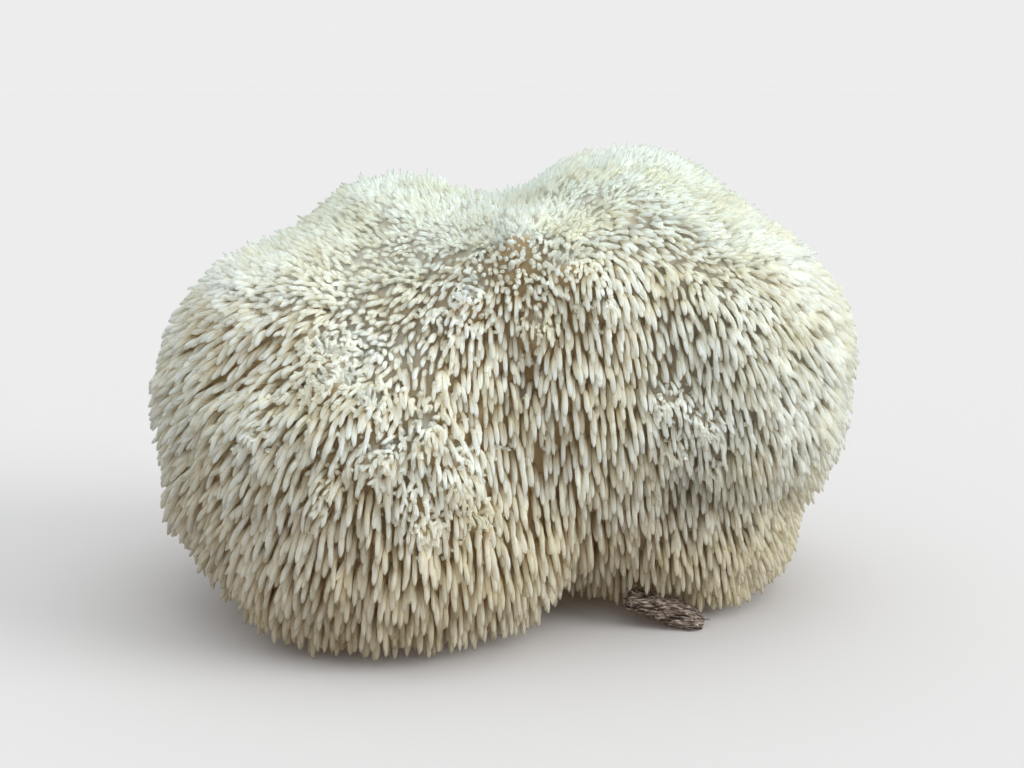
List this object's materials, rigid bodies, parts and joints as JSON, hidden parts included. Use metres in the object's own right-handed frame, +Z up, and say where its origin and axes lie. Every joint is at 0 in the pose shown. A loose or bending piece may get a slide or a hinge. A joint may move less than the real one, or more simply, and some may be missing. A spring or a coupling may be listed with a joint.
{
  "type": "lions mane mushroom",
  "caption": "Rounded two-lobed tooth fungus, covered in hanging spines, cut flat at the foot to stand by itself, with a chip of bark held at the foot.",
  "frame": {"origin": "on the surface that the cut foot rests on, under the middle of the whole object's box", "axes": "+X along the width, from the lower left lobe to the taller right lobe; +Z up, out of the cut; the front with the bark faces -Y"},
  "size_m": [0.2121, 0.1591, 0.1353],
  "materials": {
    "mushroom_flesh": "matte",
    "bark": "matte"
  },
  "bodies": {
    "root": {"fruiting_body": "mushroom_flesh", "bark_chip": "bark"}
  },
  "joints": []
}
